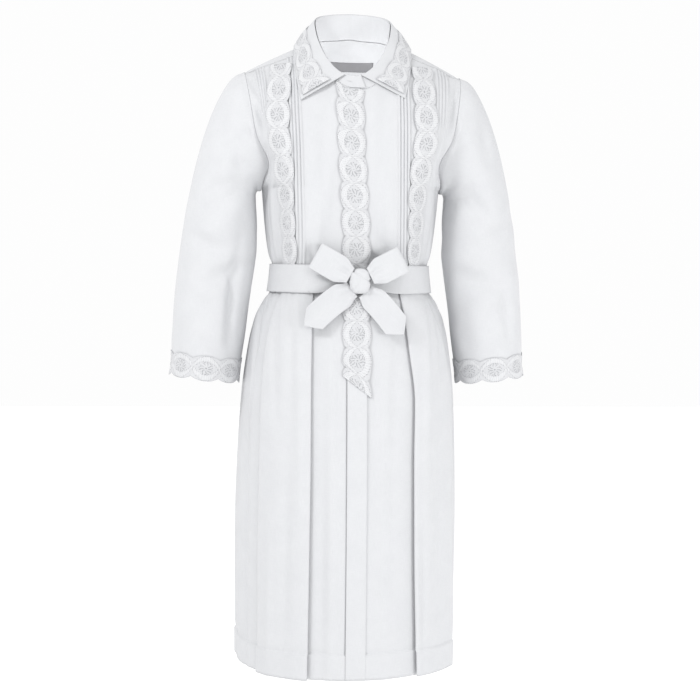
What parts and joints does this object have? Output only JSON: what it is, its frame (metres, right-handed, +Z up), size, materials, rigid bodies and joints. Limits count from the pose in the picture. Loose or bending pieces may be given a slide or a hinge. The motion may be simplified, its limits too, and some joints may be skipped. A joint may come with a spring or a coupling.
{
  "type": "kittel",
  "caption": "Long white robe held out as if worn, with shirt collar, pin tucks, lace strips, lace cuffs, box pleats and a cloth belt tied in a bow.",
  "frame": {"origin": "Middle of the base of the neck, level with the shoulder seams there, where the wearer's neck and shoulders hold the garment.", "axes": "+Z up, -Y towards the front with the placket, +X towards the wearer's left."},
  "size_m": [0.749, 0.3749, 1.355],
  "materials": {
    "cloth": "plain linen-look weave, matt",
    "lace": "cotton lace, matt",
    "label": "blank woven grey"
  },
  "bodies": {
    "root": {"front_right": "cloth", "front_left": "cloth", "back": "cloth", "yoke": "cloth", "sleeve_right": "cloth", "sleeve_left": "cloth", "placket_bodice": "cloth", "collar_stand": "cloth", "collar_leaf": "cloth", "skirt_front_right": "cloth", "skirt_front_left": "cloth", "skirt_back": "cloth", "placket_skirt": "cloth", "belt_band": "cloth", "bow_knot": "cloth", "bow_loop_right": "cloth", "bow_loop_left": "cloth", "bow_tail_right": "cloth", "bow_tail_left": "cloth", "cuff_lace_right": "lace", "cuff_lace_left": "lace", "placket_lace_upper": "lace", "placket_lace_lower": "lace", "side_lace_right": "lace", "side_lace_left": "lace", "collar_lace_right": "lace", "collar_lace_left": "lace", "neck_label": "label"}
  },
  "joints": []
}
